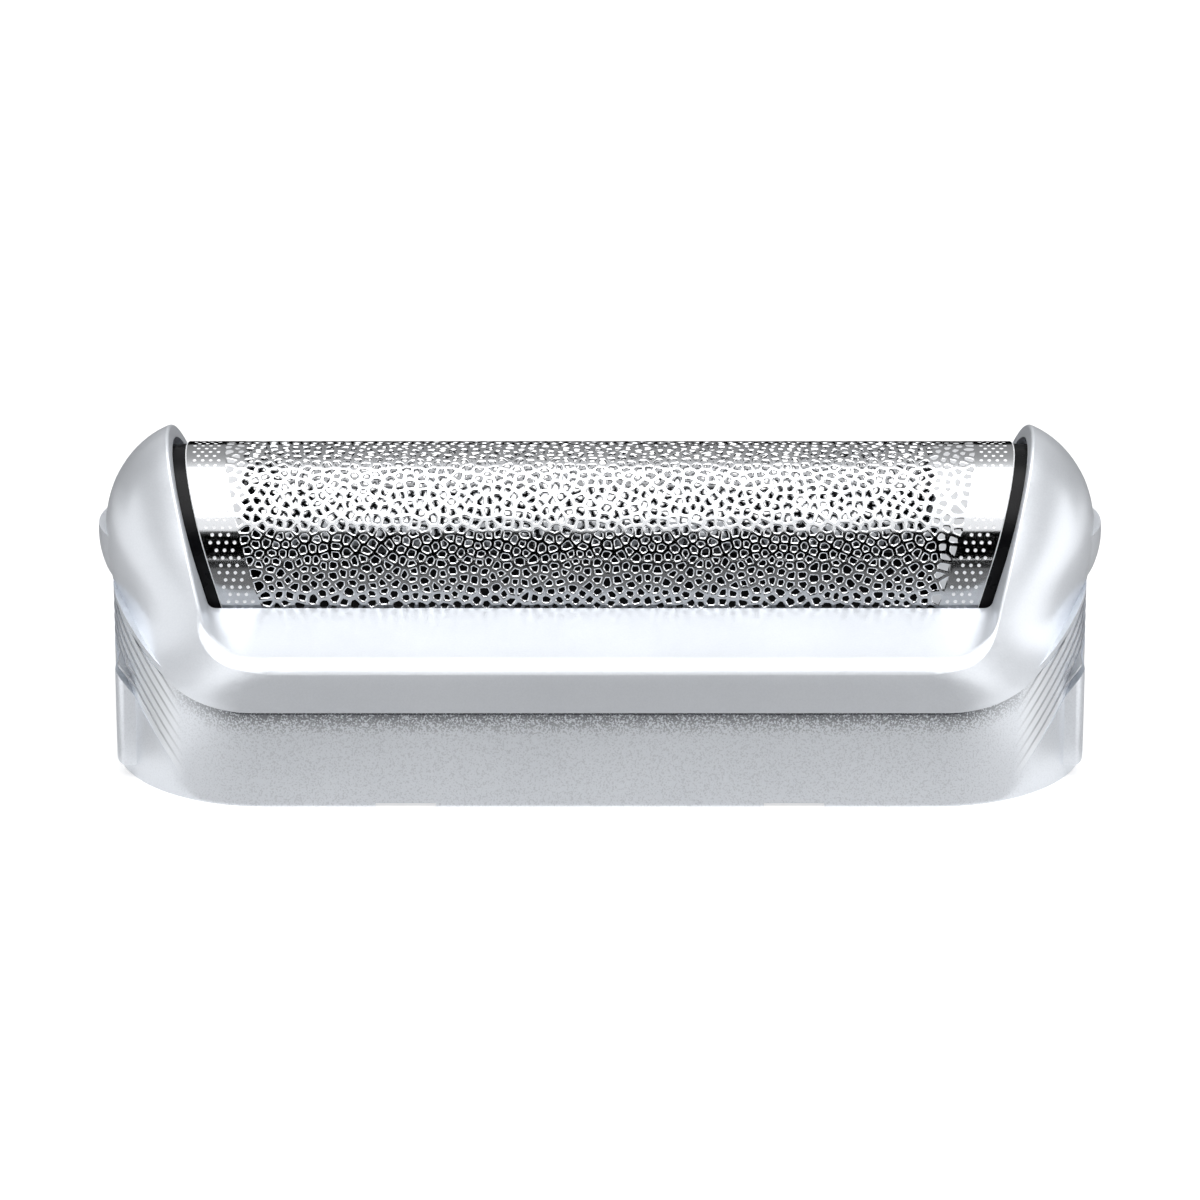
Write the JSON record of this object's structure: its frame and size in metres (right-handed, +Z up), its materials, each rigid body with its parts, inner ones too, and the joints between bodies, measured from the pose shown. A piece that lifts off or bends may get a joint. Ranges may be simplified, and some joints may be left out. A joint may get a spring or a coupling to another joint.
{
  "type": "shaver foil head",
  "caption": "Shaver foil head: an arched perforated foil between the horns of a satin silver saddle-shaped frame.",
  "frame": {"origin": "middle of the base, on the plane of the skirt's rim", "axes": "+X along the foil, +Y from front to rear, +Z up through the foil's crest"},
  "size_m": [0.057, 0.0232, 0.0183],
  "materials": {
    "silver_plastic": "satin metallic silver on plastic",
    "foil_metal": "bright nickel",
    "black_plastic": "plain black plastic"
  },
  "bodies": {
    "root": {"frame": "silver_plastic", "foil": "foil_metal", "foil_carrier": "black_plastic", "retaining_strip_front": "black_plastic", "retaining_strip_rear": "black_plastic"}
  },
  "joints": []
}
